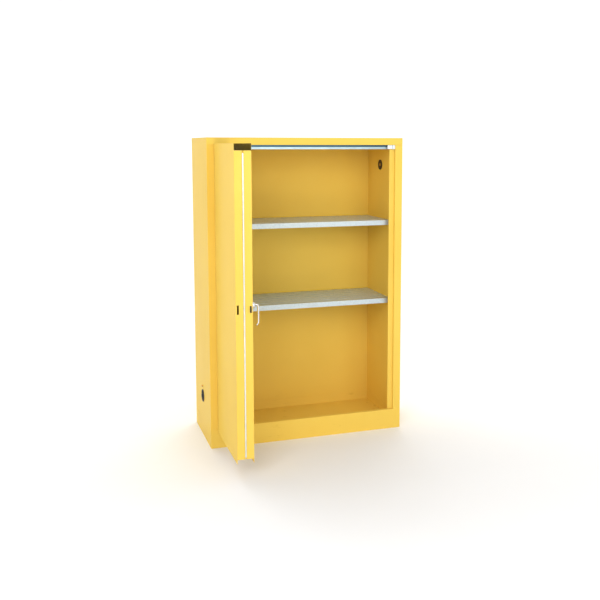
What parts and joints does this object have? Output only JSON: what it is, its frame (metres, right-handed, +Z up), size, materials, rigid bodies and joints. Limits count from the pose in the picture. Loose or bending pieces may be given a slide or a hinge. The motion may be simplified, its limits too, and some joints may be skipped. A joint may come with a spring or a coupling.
{
  "type": "flammable storage cabinet",
  "caption": "Tall double-walled steel safety cabinet with shelves, a liquid-tight sump and a bi-fold door on a jamb hinge and overhead track, shown folded open.",
  "frame": {"origin": "on the floor, at the middle of the cabinet body's footprint, with the door left out", "axes": "+X to the right along the front, +Y to the back, +Z up; the door opening faces -Y"},
  "size_m": [1.1131, 0.955, 1.651],
  "materials": {
    "yellow_paint": "gloss powder coat with fine orange peel",
    "zinc": "bright zinc plate",
    "galvanised": "galvanised sheet with spangle",
    "chrome": "polished",
    "black_plastic": "satin moulded",
    "nylon": "natural nylon",
    "brass": "plain"
  },
  "bodies": {
    "cabinet": {"base_bar_back": "yellow_paint", "base_bar_front": "yellow_paint", "door_track": "zinc", "earth_nut": "brass", "earth_stud": "brass", "flame_arrester_left": "brass", "flame_arrester_right": "brass", "header": "yellow_paint", "inner_back": "yellow_paint", "inner_side_left": "yellow_paint", "inner_side_right": "yellow_paint", "inner_top": "yellow_paint", "jamb_hinge_pin": "zinc", "jamb_hinge_post_leaf": "zinc", "levelling_foot_back_left": "zinc", "levelling_foot_back_right": "zinc", "levelling_foot_front_left": "zinc", "levelling_foot_front_right": "zinc", "outer_back": "yellow_paint", "outer_bottom": "yellow_paint", "outer_side_left": "yellow_paint", "outer_side_right": "yellow_paint", "outer_top": "yellow_paint", "post_left": "yellow_paint", "post_right": "yellow_paint", "shelf_clip_lower_left_back": "zinc", "shelf_clip_lower_left_front": "zinc", "shelf_clip_lower_right_back": "zinc", "shelf_clip_lower_right_front": "zinc", "shelf_clip_upper_left_back": "zinc", "shelf_clip_upper_left_front": "zinc", "shelf_clip_upper_right_back": "zinc", "shelf_clip_upper_right_front": "zinc", "shelf_lower": "galvanised", "shelf_upper": "galvanised", "sill": "yellow_paint", "sump_tray": "yellow_paint", "track_buffer": "nylon", "track_end_plate": "nylon", "vent_cap_left": "black_plastic", "vent_cap_right": "black_plastic", "vent_duct_left": "black_plastic", "vent_duct_right": "black_plastic"},
    "leaf_a": {"leaf_a_skin": "yellow_paint", "leaf_a_pan": "yellow_paint", "jamb_hinge_door_leaf": "zinc", "fold_hinge_leaf_a": "zinc", "fold_hinge_pin": "zinc", "latch_strike": "zinc"},
    "leaf_b": {"leaf_b_skin": "yellow_paint", "leaf_b_pan": "yellow_paint", "fold_hinge_leaf_b": "zinc", "roller_bracket": "zinc", "latch_case": "zinc", "handle_rose": "chrome"},
    "roller": {"track_roller": "nylon"},
    "handle": {"handle_lever": "chrome"},
    "bolt": {"latch_bolt": "black_plastic"}
  },
  "joints": [
    {"name": "door_close", "type": "hinge", "parent": "cabinet", "child": "leaf_a", "pos_m": [-0.4995, -0.2215, 0.85], "axis": [0, 0, 1], "range_deg": [0, 90]},
    {"name": "door_fold", "type": "hinge", "parent": "leaf_a", "child": "leaf_b", "pos_m": [-0.468, -0.7185, 0.85], "axis": [0, 0, 1], "range_deg": [-180, 0]},
    {"name": "roller_spin", "type": "hinge", "parent": "leaf_b", "child": "roller", "pos_m": [-0.4365, -0.2215, 1.601], "axis": [0, 0, 1], "continuous": true},
    {"name": "handle_turn", "type": "hinge", "parent": "leaf_b", "child": "handle", "pos_m": [-0.4265, -0.6335, 0.848], "axis": [1, 0, 0], "range_deg": [0, 60], "stiffness_Nm_per_rad": 0.6, "springref_deg": -17.19},
    {"name": "bolt_slide", "type": "slide", "parent": "leaf_b", "child": "bolt", "axis": [0, 1, 0], "range_m": [0, 0.0101]}
  ],
  "couplings": [
    {"joint": "door_fold", "follows": "door_close", "ratio": -2},
    {"joint": "bolt_slide", "follows": "handle_turn", "m_per_rad": 0.0095}
  ]
}
